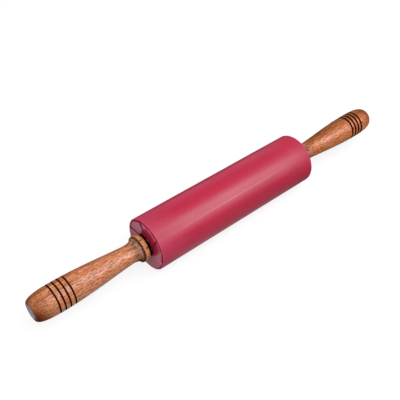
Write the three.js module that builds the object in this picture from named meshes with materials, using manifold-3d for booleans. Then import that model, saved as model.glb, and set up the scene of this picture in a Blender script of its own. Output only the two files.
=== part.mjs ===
// A revolving rolling pin: a silicone sleeve on a hollow core that turns on a steel axle between two
// turned wooden handles. Millimetres. The axle lies along X, Z is up, and the origin is the pin's centre.

import * as THREE from 'three';
import { mergeVertices } from 'three/addons/utils/BufferGeometryUtils.js';
import Module from 'manifold-3d';

const wasm = await Module();
wasm.setup();

// Fits
const seatGap = 0.3;
const runningGap = 0.15;

// Roller: the sleeve and the core that carries it
const rollerLength = 186;
const rollerRadius = 25;
const sleeveWall = 1.2;
const sleeveEdgeRadius = 0.6;
const coreWall = 3;

// End cap: a plate with panels on its face and a spigot that snaps into the core
const capPlate = 3;
const capPanelCount = 6;
const capFirstSeam = THREE.MathUtils.degToRad(46);
const capSeamOffset = 7.5;
const capPanelRise = 0.8;
const capPanelStep = 0.9;
const capPanelTuck = THREE.MathUtils.degToRad(8);
const capSpigotLength = 16;
const capSpigotWall = 2.4;
const capBossWall = 2.2;
const capRibWidth = 2;
const snapRibHeight = 0.5;
const snapRibWidth = 2.4;
const snapRibFromPlate = 10;

// Bush in the cap, and the washer between bush and handle
const bushWall = 2.2;
const bushLength = 14;
const bushFlangeWidth = 2.8;
const bushFlangeThickness = 1.3;
const bushFaceRise = 1.2;
const washerRadius = 10.8;
const washerThickness = 2.5;

// Axle and the inserts that it screws into
const axleRadius = 4;
const axleShoulderDepth = 2;
const studRadius = 3;
const studLength = 20;
const insertWall = 2;
const insertLength = 18;
const boreSpare = 4;

// Handle, along its length from the collar face to the tip
const handleLength = 108;
const beadLength = 4.6;
const beadRadius = 12.9;
const beadBulge = 1;
const collarGrooveWidth = 1;
const collarGrooveDepth = 0.9;
const shoulderRadius = 12.2;
const coveLength = 8.6;
const neckRadius = 8.7;
const bellyRadius = 12.95;
const domeLength = 24;
const tipRadius = 7;
const swellPower = 1.25;
const domePower = 2.6;
const grooveCount = 4;
const groovePitch = 4.75;
const grooveWidth = 1.3;
const grooveDepth = 0.8;
const grooveFromTip = 19.3;

// Facets round the axis: multiples of four, so that one facet faces straight down
const rollerFacets = 48;
const handleFacets = 32;
const smallFacets = 24;

// Radii and places that follow from the sizes above
const sleeveBore = rollerRadius - sleeveWall;
const sleeveEnd = rollerLength / 2;
const coreRadius = sleeveBore - seatGap;
const coreBore = coreRadius - coreWall;
const coreEnd = sleeveEnd - capPlate - seatGap;
const capRadius = coreRadius;
const capPanelRadius = capRadius * Math.cos(Math.PI / rollerFacets);
const capBack = coreEnd + seatGap;
const spigotRadius = coreBore - seatGap;
const snapRibPlace = capBack - snapRibFromPlate;
const bushBore = axleRadius + runningGap;
const bushRadius = bushBore + bushWall;
const bushFlangeRadius = bushRadius + bushFlangeWidth;
const bushFace = sleeveEnd + bushFaceRise;
const bushSeat = bushFace - bushFlangeThickness;
const capBossRadius = bushRadius + seatGap + capBossWall;
const capBossEnd = bushSeat - bushLength - seatGap;
const washerFace = bushFace + seatGap;
const collarFace = washerFace + washerThickness + seatGap;
const axleShoulder = collarFace + axleShoulderDepth;
const insertBore = studRadius + seatGap;
const insertRadius = insertBore + insertWall;
const handleBore = insertRadius + seatGap;
const handleBoreDepth = axleShoulderDepth + seatGap + Math.max(insertLength, studLength) + boreSpare;

const silicone = new THREE.MeshStandardMaterial({ color: 0xbf2f4a, roughness: 0.45, metalness: 0 });
const capPlastic = new THREE.MeshStandardMaterial({ color: 0x9c2f45, roughness: 0.2, metalness: 0 });
const corePlastic = new THREE.MeshStandardMaterial({ color: 0xd8d4cc, roughness: 0.5, metalness: 0 });
const nylon = new THREE.MeshStandardMaterial({ color: 0xe9e6dc, roughness: 0.4, metalness: 0 });
const blackNylon = new THREE.MeshStandardMaterial({ color: 0x141212, roughness: 0.5, metalness: 0 });
const steel = new THREE.MeshStandardMaterial({ color: 0xb9bbbd, roughness: 0.3, metalness: 1 });
const brass = new THREE.MeshStandardMaterial({ color: 0xb8924a, roughness: 0.35, metalness: 1 });
const stainedWood = new THREE.MeshStandardMaterial({ color: 0xa9643a, roughness: 0.4, metalness: 0 });

// A profile of [radius, along] points turned about X, half a facet round so that a facet faces down.
// The profile starts and ends on the axis or closes on itself, and runs towards +X on its outer side.
function turned(profile, facets) {
  const outline = profile.map(([radius, along]) => new THREE.Vector2(radius, along));
  const form = new THREE.LatheGeometry(outline, facets, Math.PI / facets);
  return form.rotateZ(-Math.PI / 2);
}

// A tube from one place to another along X.
function tube(innerRadius, outerRadius, from, to, facets) {
  const corners = [
    [innerRadius, from],
    [outerRadius, from],
    [outerRadius, to],
    [innerRadius, to],
    [innerRadius, from],
  ];
  return turned(corners, facets);
}

// Evenly spaced fractions from 0 to 1.
function fractions(steps) {
  return Array.from({ length: steps + 1 }, (_, step) => step / steps);
}

function toSolid(form) {
  form.deleteAttribute('normal');
  form.deleteAttribute('uv');
  const merged = mergeVertices(form, 1e-4);
  const mesh = new wasm.Mesh({
    numProp: 3,
    vertProperties: merged.attributes.position.array,
    triVerts: Uint32Array.from(merged.index.array),
  });
  return new wasm.Manifold(mesh);
}

function toForm(solid) {
  const mesh = solid.getMesh();
  const form = new THREE.BufferGeometry();
  form.setAttribute('position', new THREE.BufferAttribute(mesh.vertProperties, 3));
  form.setIndex(new THREE.BufferAttribute(mesh.triVerts, 1));
  form.computeVertexNormals();
  return form;
}

function piece(name, form, material) {
  const mesh = new THREE.Mesh(form, material);
  mesh.name = name;
  return mesh;
}

// The sleeve: a tube with its outer edges rounded.
function sleeveForm() {
  const edgeSteps = 3;
  const edge = fractions(edgeSteps).map((share) => {
    const angle = share * Math.PI / 2;
    const radius = rollerRadius - sleeveEdgeRadius * (1 - Math.cos(angle));
    return [radius, sleeveEnd - sleeveEdgeRadius * (1 - Math.sin(angle))];
  });
  const farEdge = edge.map(([radius, along]) => [radius, -along]).reverse();
  const bore = [[sleeveBore, sleeveEnd], [sleeveBore, -sleeveEnd]];
  return turned([...farEdge, ...edge, ...bore, farEdge[0]], rollerFacets);
}

// The core: a tube with a groove inside each end for the cap's snap rib.
function coreForm() {
  const grooveRadius = coreBore + snapRibHeight;
  const grooveHalf = snapRibWidth / 2 + seatGap;
  const groove = [
    [coreBore, snapRibPlace + grooveHalf + snapRibHeight],
    [grooveRadius, snapRibPlace + grooveHalf],
    [grooveRadius, snapRibPlace - grooveHalf],
    [coreBore, snapRibPlace - grooveHalf - snapRibHeight],
  ];
  const farGroove = groove.map(([radius, along]) => [radius, -along]).reverse();
  const start = [coreBore, -coreEnd];
  const outside = [[coreRadius, -coreEnd], [coreRadius, coreEnd], [coreBore, coreEnd]];
  return turned([start, ...outside, ...groove, ...farGroove, start], rollerFacets);
}

// One panel of the cap's face, two chords wide. Its two seams are straight lines that pass the axis at the
// seam offset, like the blades of a shutter. Its flat top is tilted so that it falls by the step from the
// seam where it starts to the seam where it ends, and its low side tucks in under the panel after it.
function panelForm(startAngle) {
  const span = 2 * Math.PI / capPanelCount;
  const tuckedAngle = startAngle + span + capPanelTuck;
  const seamTurn = Math.acos(capSeamOffset / capPanelRadius);
  const corner = (radius, angle) => new THREE.Vector2(radius * Math.cos(angle), radius * Math.sin(angle));
  const blade = new THREE.Shape([
    corner(capSeamOffset, startAngle - seamTurn),
    ...fractions(2).map((share) => corner(capPanelRadius, startAngle + share * span)),
    corner(capPanelRadius * Math.cos(span / 4), tuckedAngle),
    corner(capSeamOffset, tuckedAngle - seamTurn),
  ]);
  const form = new THREE.ExtrudeGeometry(blade, { depth: capPlate, bevelEnabled: false });
  const middle = startAngle + span / 2;
  const slope = capPanelStep / (2 * capPanelRadius * Math.sin(span / 2));
  const place = form.attributes.position;
  for (let i = 0; i < place.count; i += 1) {
    const across = place.getY(i) * Math.cos(middle) - place.getX(i) * Math.sin(middle);
    const onTop = place.getZ(i) > capPlate / 2;
    place.setZ(i, onTop ? sleeveEnd + capPanelRise - slope * across : sleeveEnd - capPlate / 2);
  }
  const towardsX = new THREE.Matrix4().makeBasis(
    new THREE.Vector3(0, 1, 0),
    new THREE.Vector3(0, 0, 1),
    new THREE.Vector3(1, 0, 0),
  );
  return form.applyMatrix4(towardsX);
}

// One rib behind the cap's plate, from the boss to the spigot, halfway between two seams.
function capRibForm(startAngle) {
  const from = capBossRadius - capBossWall / 2;
  const to = spigotRadius - capSpigotWall / 2;
  const front = capBack + capPlate / 2;
  const form = new THREE.BoxGeometry(front - capBossEnd, to - from, capRibWidth);
  form.translate((front + capBossEnd) / 2, (from + to) / 2, 0);
  return form.rotateX(startAngle + Math.PI / capPanelCount);
}

// The cap: plate, spigot with its snap rib, boss and ribs, panels on its face, then the bush's bore and seat.
function endCapForm() {
  const spigotEnd = capBack - capSpigotLength;
  const spigotBore = spigotRadius - capSpigotWall;
  const ribHalf = snapRibWidth / 2;
  const ribTop = spigotRadius + snapRibHeight;
  const inside = [
    [0, capBossEnd],
    [capBossRadius, capBossEnd],
    [capBossRadius, capBack],
    [spigotBore, capBack],
  ];
  const outside = [
    [spigotBore, spigotEnd],
    [spigotRadius, spigotEnd],
    [spigotRadius, snapRibPlace - ribHalf - snapRibHeight],
    [ribTop, snapRibPlace - ribHalf],
    [ribTop, snapRibPlace + ribHalf],
    [spigotRadius, snapRibPlace + ribHalf + snapRibHeight],
    [spigotRadius, capBack],
    [capRadius, capBack],
    [capRadius, sleeveEnd],
    [0, sleeveEnd],
  ];
  let cap = toSolid(turned([...inside, ...outside], rollerFacets));
  for (let k = 0; k < capPanelCount; k += 1) {
    const seam = capFirstSeam + k * 2 * Math.PI / capPanelCount;
    cap = cap.add(toSolid(panelForm(seam)));
    cap = cap.add(toSolid(capRibForm(seam)));
  }
  const bossBore = bushRadius + seatGap;
  const flangeSeat = bushFlangeRadius + seatGap;
  const bushRoom = [
    [0, capBossEnd - seatGap],
    [bossBore, capBossEnd - seatGap],
    [bossBore, bushSeat - seatGap],
    [flangeSeat, bushSeat - seatGap],
    [flangeSeat, bushFace + capPanelStep],
    [0, bushFace + capPanelStep],
  ];
  return toForm(cap.subtract(toSolid(turned(bushRoom, smallFacets))));
}

// The bush: a sleeve in the cap's boss with a flange in the recess of its face.
function bushForm() {
  const profile = [
    [bushBore, bushSeat - bushLength],
    [bushRadius, bushSeat - bushLength],
    [bushRadius, bushSeat],
    [bushFlangeRadius, bushSeat],
    [bushFlangeRadius, bushFace],
    [bushBore, bushFace],
    [bushBore, bushSeat - bushLength],
  ];
  return turned(profile, smallFacets);
}

// The axle: a plain rod with a shoulder and a stud at each end.
function axleForm() {
  const studEnd = axleShoulder + studLength;
  const half = [[axleRadius, axleShoulder], [studRadius, axleShoulder], [studRadius, studEnd], [0, studEnd]];
  const farHalf = half.map(([radius, along]) => [radius, -along]).reverse();
  return turned([...farHalf, ...half], smallFacets);
}

// The handle's outline past the cove: a swell from the neck to the belly, then a dome down to the flat tip.
function handleRadius(along) {
  const neck = beadLength + collarGrooveWidth + coveLength;
  const belly = handleLength - domeLength;
  if (along < belly) {
    const share = Math.max(0, (along - neck) / (belly - neck));
    return neckRadius + (bellyRadius - neckRadius) * Math.sin(share * Math.PI / 2) ** swellPower;
  }
  const share = Math.min(1, (along - belly) / domeLength);
  return tipRadius + (bellyRadius - tipRadius) * (1 - share ** domePower) ** (1 / domePower);
}

// The handle: a bead, a narrow groove, a cove, the swell with its burnt grooves, the dome and the blind bore.
function handleForm() {
  const beadSteps = 6;
  const coveSteps = 6;
  const swellSteps = 9;
  const domeSteps = 8;
  const beadEdge = beadRadius - beadBulge;
  const coveStart = beadLength + collarGrooveWidth;
  const neck = coveStart + coveLength;
  const belly = handleLength - domeLength;

  const bead = fractions(beadSteps).map((share) => {
    const angle = share * Math.PI;
    return [beadEdge + beadBulge * Math.sin(angle), beadLength * (1 - Math.cos(angle)) / 2];
  });
  const grooveFloor = [beadEdge - collarGrooveDepth, beadLength + collarGrooveWidth / 2];
  const cove = fractions(coveSteps).map((share) => {
    const angle = share * Math.PI / 2;
    const radius = neckRadius + (shoulderRadius - neckRadius) * (1 - Math.sin(angle));
    return [radius, coveStart + coveLength * (1 - Math.cos(angle))];
  });

  const lastGroove = handleLength - grooveFromTip;
  const burntGrooves = Array.from({ length: grooveCount }, (_, k) => lastGroove - k * groovePitch);
  const swell = fractions(swellSteps).slice(1).map((share) => neck + share * (belly - neck));
  const domeTurns = fractions(domeSteps).slice(1).map((share) => share * Math.PI / 2);
  const dome = domeTurns.map((angle) => belly + domeLength * Math.sin(angle));
  const clearOfGrooves = (along) => burntGrooves.every((groove) => Math.abs(along - groove) > grooveWidth);
  const plain = [...swell, ...dome].filter(clearOfGrooves).map((along) => [handleRadius(along), along]);
  const cuts = burntGrooves.flatMap((groove) => {
    const floor = handleRadius(groove) - grooveDepth;
    const from = groove - grooveWidth / 2;
    const to = groove + grooveWidth / 2;
    return [
      [handleRadius(from), from],
      [floor, groove - grooveWidth / 4],
      [floor, groove + grooveWidth / 4],
      [handleRadius(to), to],
    ];
  });
  const grip = [...plain, ...cuts].sort((a, b) => a[1] - b[1]);

  const bore = [[0, handleBoreDepth], [handleBore, handleBoreDepth], [handleBore, 0]];
  const outline = [...bore, ...bead, grooveFloor, ...cove, ...grip, [0, handleLength]];
  return turned(outline.map(([radius, along]) => [radius, collarFace + along]), handleFacets);
}

// The pieces at one end, made for +X. The same pieces turned half round about Z serve the other end.
function endPieces(side) {
  const insertStart = axleShoulder + seatGap;
  const end = new THREE.Group();
  end.add(piece(`end_cap_${side}`, endCapForm(), capPlastic));
  end.add(piece(`bush_${side}`, bushForm(), nylon));
  const washerBore = axleRadius + seatGap;
  const washer = tube(washerBore, washerRadius, washerFace, washerFace + washerThickness, smallFacets);
  end.add(piece(`thrust_washer_${side}`, washer, blackNylon));
  const insert = tube(insertBore, insertRadius, insertStart, insertStart + insertLength, smallFacets);
  end.add(piece(`threaded_insert_${side}`, insert, brass));
  end.add(piece(`handle_${side}`, handleForm(), stainedWood));
  end.rotation.z = side === 'left' ? Math.PI : 0;
  return end;
}

const rollingPin = new THREE.Group();
rollingPin.add(piece('silicone_sleeve', sleeveForm(), silicone));
rollingPin.add(piece('core_tube', coreForm(), corePlastic));
rollingPin.add(piece('axle_rod', axleForm(), steel));
rollingPin.add(endPieces('right'));
rollingPin.add(endPieces('left'));

export default rollingPin;
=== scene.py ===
import math

import bmesh
import bpy
import numpy as np
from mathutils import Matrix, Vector


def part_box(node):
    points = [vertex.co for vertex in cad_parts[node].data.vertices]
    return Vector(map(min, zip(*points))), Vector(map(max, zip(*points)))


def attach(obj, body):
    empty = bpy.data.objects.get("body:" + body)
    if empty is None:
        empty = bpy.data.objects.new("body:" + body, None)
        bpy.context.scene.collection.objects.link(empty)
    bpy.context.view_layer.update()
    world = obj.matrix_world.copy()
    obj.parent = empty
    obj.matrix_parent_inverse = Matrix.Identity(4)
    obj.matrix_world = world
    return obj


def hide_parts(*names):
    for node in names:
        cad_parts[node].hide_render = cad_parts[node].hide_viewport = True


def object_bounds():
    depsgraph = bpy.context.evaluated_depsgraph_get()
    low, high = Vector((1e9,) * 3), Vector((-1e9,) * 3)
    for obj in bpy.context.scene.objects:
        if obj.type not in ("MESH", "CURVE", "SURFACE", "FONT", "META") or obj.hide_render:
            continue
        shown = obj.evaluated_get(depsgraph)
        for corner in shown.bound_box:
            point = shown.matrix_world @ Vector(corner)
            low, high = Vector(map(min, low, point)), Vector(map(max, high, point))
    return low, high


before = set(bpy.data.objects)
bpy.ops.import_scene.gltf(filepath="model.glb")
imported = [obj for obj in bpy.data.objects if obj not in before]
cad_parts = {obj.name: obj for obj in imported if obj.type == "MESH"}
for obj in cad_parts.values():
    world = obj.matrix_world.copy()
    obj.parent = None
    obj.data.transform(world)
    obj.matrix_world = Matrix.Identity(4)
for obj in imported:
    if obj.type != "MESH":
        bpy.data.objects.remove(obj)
cad_low, cad_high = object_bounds()


# Core tube
# The rigid tube that carries the sleeve, moulded in pale plastic and open at both ends.
# A groove inside each end takes the snap rib of the end cap.

MM = 0.001
seat_gap = 0.3 * MM
core_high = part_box("core_tube")[1]
core_end = core_high.x
core_radius = core_high.z
core_wall = 3 * MM
core_bore = core_radius - core_wall
core_edge = 0.25 * MM
core_spacing = 4 * MM
core_columns = 128
snap_height = 0.5 * MM
snap_half = 1.2 * MM
snap_reach = 10 * MM
snap_place = core_end + seat_gap - snap_reach


def eased_profile(corners, ease, spacing):
    """A closed profile of (along, radius) corners in which each corner becomes a short parabola:
    corner + ease (1 - t)^2 towards the corner before + ease t^2 towards the corner after.
    Rows are added on the straight stretches so that none are further apart than the spacing."""
    rows_on_bend = 7
    corner = np.array(corners, float)
    reach = np.broadcast_to(ease, len(corner))
    before = np.roll(corner, 1, axis=0) - corner
    after = np.roll(corner, -1, axis=0) - corner
    before /= np.linalg.norm(before, axis=1, keepdims=True)
    after /= np.linalg.norm(after, axis=1, keepdims=True)
    t = np.linspace(0, 1, rows_on_bend)[None, :, None]
    bend = (1 - t) ** 2 * before[:, None] + t**2 * after[:, None]
    path = (corner[:, None] + reach[:, None, None] * bend).reshape(-1, 2)
    path = np.vstack([path, path[:1]])
    travel = np.concatenate([[0], np.cumsum(np.linalg.norm(np.diff(path, axis=0), axis=1))])
    rows = np.union1d(travel, np.arange(0, travel[-1], spacing))
    return np.interp(rows, travel, path[:, 0]), np.interp(rows, travel, path[:, 1])


def tube_corners(start, end, bore, radius):
    """The four corners of the wall of a plain tube."""
    return [(start, bore), (start, radius), (end, radius), (end, bore)]


def skin(name, points, crease=40, **marks):
    """One closed skin over a grid of points, rows along a profile and columns round the axle:
    each cell is a quad, the last column meets the first, and points that fall together merge.
    Edges sharper than the crease angle, in degrees, stay sharp. Each mark is a value from 0 to 1
    for every point, which the piece's material reads by the mark's name."""
    merge_distance = 0.0005 * MM
    rows, columns = points.shape[:2]
    number = np.arange(rows * columns).reshape(rows, columns)
    beside = np.roll(number, -1, axis=1)
    quads = np.stack([number[:-1], beside[:-1], beside[1:], number[1:]], axis=-1)
    mesh = bpy.data.meshes.new(name)
    mesh.from_pydata(points.reshape(-1, 3).tolist(), [], quads.reshape(-1, 4).tolist())
    for mark, values in marks.items():
        spots = np.broadcast_to(values, (rows, columns)).astype(np.float32)
        mesh.attributes.new(mark, "FLOAT", "POINT").data.foreach_set("value", spots.ravel())
    merged = bmesh.new()
    merged.from_mesh(mesh)
    bmesh.ops.remove_doubles(merged, verts=merged.verts, dist=merge_distance)
    merged.to_mesh(mesh)
    merged.free()
    mesh.shade_smooth()
    mesh.set_sharp_from_angle(angle=math.radians(crease))
    piece = bpy.data.objects.new(name, mesh)
    bpy.context.scene.collection.objects.link(piece)
    return piece


def turned(along, radius, columns, side=1):
    """A profile turned about the axle: at turn a the point is (along, radius cos a, radius sin a).
    For side -1 the whole is turned half round about the upright, to serve the left end."""
    turn = np.linspace(0, 2 * np.pi, columns, endpoint=False)[None, :]
    along = np.reshape(along, (len(along), -1))
    radius = np.reshape(radius, (len(radius), -1))
    grid = np.broadcast_arrays(along * side, radius * np.cos(turn) * side, radius * np.sin(turn))
    return np.stack(grid, axis=-1)


def fit(piece, material, body, node):
    """Gives a piece its finish, sets it on its body and lets it stand for the plain solid."""
    piece.data.materials.append(material)
    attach(piece, body)
    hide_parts(node)


def chart(red, green, blue):
    """A colour as a colour chart gives it, 0 to 255, turned into the linear light of a shader by the
    sRGB curve."""
    share = np.array([red, green, blue]) / 255
    linear = np.where(share <= 0.04045, share / 12.92, ((share + 0.055) / 1.055) ** 2.4)
    return (*linear.tolist(), 1.0)


def add(tree, kind, inputs, **settings):
    """Adds a node with its settings. Each input, by name or number, is joined to the output
    that it is given, or set to the plain value."""
    node = tree.nodes.new(kind)
    for setting, value in settings.items():
        setattr(node, setting, value)
    for socket, source in inputs.items():
        if isinstance(source, bpy.types.NodeSocket):
            tree.links.new(source, node.inputs[socket])
        else:
            node.inputs[socket].default_value = source
    return node


def object_place(tree):
    """The place of a point in the object's own metres."""
    return add(tree, "ShaderNodeTexCoord", {}).outputs["Object"]


def mark_value(tree, mark):
    """The value of one of a skin's marks."""
    return add(tree, "ShaderNodeAttribute", {}, attribute_name=mark).outputs["Fac"]


def noise(tree, place, stretch, detail):
    """Soft noise from 0 to 1 whose grains are one over the stretch long, in metres, along X, Y and Z."""
    fine_share = 0.55
    mapped = add(tree, "ShaderNodeMapping", {"Vector": place, "Scale": stretch})
    grains = {"Vector": mapped.outputs[0], "Scale": 1.0, "Detail": detail, "Roughness": fine_share}
    return add(tree, "ShaderNodeTexNoise", grains).outputs["Fac"]


def cube(size):
    """The same stretch along X, Y and Z for grains of one size in metres."""
    return (1 / size, 1 / size, 1 / size)


def spread(tree, value, low, high, to_low=0.0, to_high=1.0):
    """A value stretched from the range low to high on to the range to_low to to_high, and held there."""
    ends = {"Value": value, "From Min": low, "From Max": high, "To Min": to_low, "To Max": to_high}
    return add(tree, "ShaderNodeMapRange", ends).outputs["Result"]


def combine(tree, operation, first, second):
    """Two values added, multiplied or compared."""
    return add(tree, "ShaderNodeMath", {0: first, 1: second}, operation=operation).outputs[0]


def tint(tree, share, under, over):
    """The colour under, covered by the colour over in the given share. A mix of colours has its share at
    input 0, its colours at inputs 6 and 7, and its result at output 2."""
    return add(tree, "ShaderNodeMix", {0: share, 6: under, 7: over}, data_type="RGBA").outputs[2]


def finish(name, **constants):
    """A new material, its nodes and its shader, with the values that are the same all over set."""
    material = bpy.data.materials.new(name)
    material.use_nodes = True
    shader = material.node_tree.nodes["Principled BSDF"]
    for socket, value in constants.items():
        shader.inputs[socket.replace("_", " ")].default_value = value
    return material, material.node_tree, shader


def surface(tree, shader, colour, roughness, height):
    """Joins a colour, a roughness and a relief, whose height is in metres, to a shader."""
    tree.links.new(colour, shader.inputs["Base Color"])
    tree.links.new(roughness, shader.inputs["Roughness"])
    relief = add(tree, "ShaderNodeBump", {"Strength": 1.0, "Distance": 1.0, "Height": height})
    tree.links.new(relief.outputs["Normal"], shader.inputs["Normal"])


def effect(name, inputs, outputs):
    """An empty node group with the named sockets, and its own input and output nodes."""
    group = bpy.data.node_groups.new(name, "ShaderNodeTree")
    for socket, kind in inputs.items():
        group.interface.new_socket(socket, in_out="INPUT", socket_type=kind)
    for socket in outputs:
        group.interface.new_socket(socket, in_out="OUTPUT", socket_type="NodeSocketFloat")
    return group, group.nodes.new("NodeGroupInput"), group.nodes.new("NodeGroupOutput")


def layered(name, layers):
    """A node group that puts out layers of noise. Each layer has its stretch, its detail, and the range
    of the noise that is stretched from 0 to 1."""
    group, group_in, group_out = effect(name, {"Place": "NodeSocketVector"}, list(layers))
    for layer, (stretch, detail, low, high) in layers.items():
        grains = noise(group, group_in.outputs["Place"], stretch, detail)
        group.links.new(spread(group, grains, low, high), group_out.inputs[layer])
    return group


# What moulded surfaces share: cloudy blotches a few centimetres across, faint streaks along the axle,
# slow waves where the skin shrank, a fine grain and dust specks.
moulded_layers = {
    "Blotch": (cube(28 * MM), 4.0, 0.0, 1.0),
    "Streaks": ((9.0, 420.0, 420.0), 3.0, 0.0, 1.0),
    "Waves": ((40.0, 110.0, 110.0), 2.0, 0.0, 1.0),
    "Grain": (cube(0.35 * MM), 2.0, 0.0, 1.0),
    "Dust": (cube(1.3 * MM), 1.0, 0.70, 0.78),
}
moulded_skin = layered("moulded skin", moulded_layers)
cloud_range = (0.7, 1.3)
smudge_range = (0.65, 1.35)
dust_share = 0.35
matte_roughness = 0.2


def moulded(
    name, colour, shade, dust, rough, smudge, grain_depth, wave_depth=0.0,
    marked=(), bare=None, matte=None, **constants
):
    """A moulded finish: a colour clouded with a shade of it, thin dust, smudged gloss, fine grain and
    slow waves. Each pair in marked is one of the skin's marks and the colour that it lays over the
    rest. The mark that bare names takes the coat of gloss away, and the one that matte names makes the
    skin rougher."""
    material, tree, shader = finish(name, **constants)
    layers = add(tree, "ShaderNodeGroup", {"Place": object_place(tree)}, node_tree=moulded_skin).outputs
    uneven = combine(tree, "ADD", layers["Blotch"], layers["Streaks"])
    clouded = tint(tree, spread(tree, uneven, *cloud_range), colour, shade)
    thin_dust = combine(tree, "MULTIPLY", layers["Dust"], dust_share)
    painted = tint(tree, thin_dust, clouded, dust)
    for mark, over in marked:
        painted = tint(tree, mark_value(tree, mark), painted, over)
    if bare:
        coat = combine(tree, "SUBTRACT", 1.0, mark_value(tree, bare))
        tree.links.new(coat, shader.inputs["Coat Weight"])
    roughness = spread(tree, uneven, *smudge_range, rough - smudge, rough + smudge)
    if matte:
        rougher = combine(tree, "MULTIPLY", mark_value(tree, matte), matte_roughness)
        roughness = combine(tree, "ADD", roughness, rougher)
    grain = combine(tree, "MULTIPLY", layers["Grain"], grain_depth)
    waves = combine(tree, "MULTIPLY", layers["Waves"], wave_depth)
    surface(tree, shader, painted, roughness, combine(tree, "ADD", grain, waves))
    return material


core_plastic = moulded(
    "pale core plastic",
    colour=chart(222, 218, 208),
    shade=chart(208, 203, 192),
    dust=chart(170, 164, 152),
    rough=0.45,
    smudge=0.05,
    grain_depth=0.01 * MM,
)
snap_wall = snap_half + seat_gap
right_groove = [
    (snap_place + snap_wall + snap_height, core_bore),
    (snap_place + snap_wall, core_bore + snap_height),
    (snap_place - snap_wall, core_bore + snap_height),
    (snap_place - snap_wall - snap_height, core_bore),
]
left_groove = [(-along, radius) for along, radius in reversed(right_groove)]
core_corners = tube_corners(-core_end, core_end, core_bore, core_radius) + right_groove + left_groove
core_rows = eased_profile(core_corners, core_edge, core_spacing)
core = skin("core_moulding", turned(*core_rows, core_columns))
fit(core, core_plastic, "roller", "core_tube")


# Silicone sleeve
# The working surface: a thin red silicone tube with rounded ends, stretched over the core, which it
# grips. Its satin skin is more matte towards the ends, and its mould left a faint line on two sides.

sleeve_low, sleeve_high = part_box("silicone_sleeve")
sleeve_end = sleeve_high.x
sleeve_radius = sleeve_high.z
sleeve_wall = 1.2 * MM
sleeve_bore = sleeve_radius - sleeve_wall
sleeve_round = 0.7 * MM
sleeve_bore_round = 0.2 * MM
sleeve_spacing = 3 * MM
sleeve_columns = 192
edge_width = 0.7 * MM
edge_fade = 0.3 * MM
lip_inset = 0.3 * MM
lip_fade = 0.2 * MM
parting_turn = 137
parting_reach = 60 * MM
parting_strength = 0.5
matte_start = 60 * MM
matte_run = 33 * MM
bloom_and_reflection_strength = 0.14


def sleeve_marks(along, ring):
    """Where the sleeve differs from its plain skin: edge, a painted highlight, on the rounded ends,
    shaded_lip, painted shade, on their inner part, parting on two mould lines half a turn apart, which
    are one column wide and fade as exp(-(along / reach) squared), matte over the last run of both ends,
    and bloom_and_reflection, a pale haze that is partly painted reflection, over that of the left end."""
    # The rounded ends get a painted highlight, and their inner part painted shade.
    edge = np.clip((edge_width - sleeve_end + np.abs(along)) / edge_fade, 0, 1)
    shaded_lip = edge * np.clip((sleeve_radius - lip_inset - ring) / lip_fade, 0, 1)
    column_turn = 360 / sleeve_columns
    off_line = np.abs(np.mod(np.arange(sleeve_columns) * column_turn - parting_turn + 90, 180) - 90)
    line = np.clip(1 - off_line / column_turn, 0, 1) * (ring > sleeve_radius - sleeve_wall / 2)
    parting = parting_strength * np.exp(-((along / parting_reach) ** 2)) * line
    matte = np.clip((np.abs(along) - matte_start) / matte_run, 0, 1)
    # A pale haze on the left end, partly painted reflection.
    bloom_and_reflection = bloom_and_reflection_strength * matte * (along < 0)
    return {"edge": edge, "shaded_lip": shaded_lip, "parting": parting, "matte": matte, "bloom_and_reflection": bloom_and_reflection}


sleeve_corners = tube_corners(-sleeve_end, sleeve_end, sleeve_bore, sleeve_radius)
sleeve_ease = [sleeve_bore_round, sleeve_round, sleeve_round, sleeve_bore_round]
sleeve_rows = eased_profile(sleeve_corners, sleeve_ease, sleeve_spacing)
sleeve_along, sleeve_ring = (values[:, None] for values in sleeve_rows)
sleeve_points = turned(*sleeve_rows, sleeve_columns)
sleeve = skin("red_sleeve", sleeve_points, **sleeve_marks(sleeve_along, sleeve_ring))
red_silicone = moulded(
    "red silicone",
    colour=chart(200, 13, 62),
    shade=chart(188, 11, 54),
    dust=chart(216, 120, 140),
    rough=0.38,
    smudge=0.05,
    grain_depth=0.006 * MM,
    wave_depth=0.16 * MM,
    # Of these colours, the left end's pale haze is partly painted reflection, the rounded ends' pink is a
    # painted highlight, and the inner end's dark red is painted shade.
    marked=[
        ("bloom_and_reflection", chart(178, 120, 150)),
        ("edge", chart(236, 66, 126)),
        ("shaded_lip", chart(156, 14, 48)),
        ("parting", chart(206, 132, 150)),
    ],
    matte="matte",
    IOR=1.41,
    Specular_IOR_Level=0.58,
)
fit(sleeve, red_silicone, "roller", "silicone_sleeve")


# End caps
# Red gloss plastic mouldings that close the roller. Six flat panels on the face overlap like the blades
# of a shutter, and behind the plate a ribbed boss holds the bush and a spigot snaps into the core.

cap_radius = core_radius
cap_back = core_end + seat_gap
cap_edge = 0.15 * MM
panel_count = 6
panel_span = 2 * math.pi / panel_count
panel_inset = 0.05 * MM
panel_radius = cap_radius - panel_inset
first_seam = math.radians(46)
seam_offset = 7.5 * MM
panel_rise = 0.8 * MM
panel_step = 0.9 * MM
panel_edge = 0.4 * MM
panel_rings = 10
edge_rows = 5
seam_foot = 0.08 * MM
seam_shade_shares = (0.95, 0.98)
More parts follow.
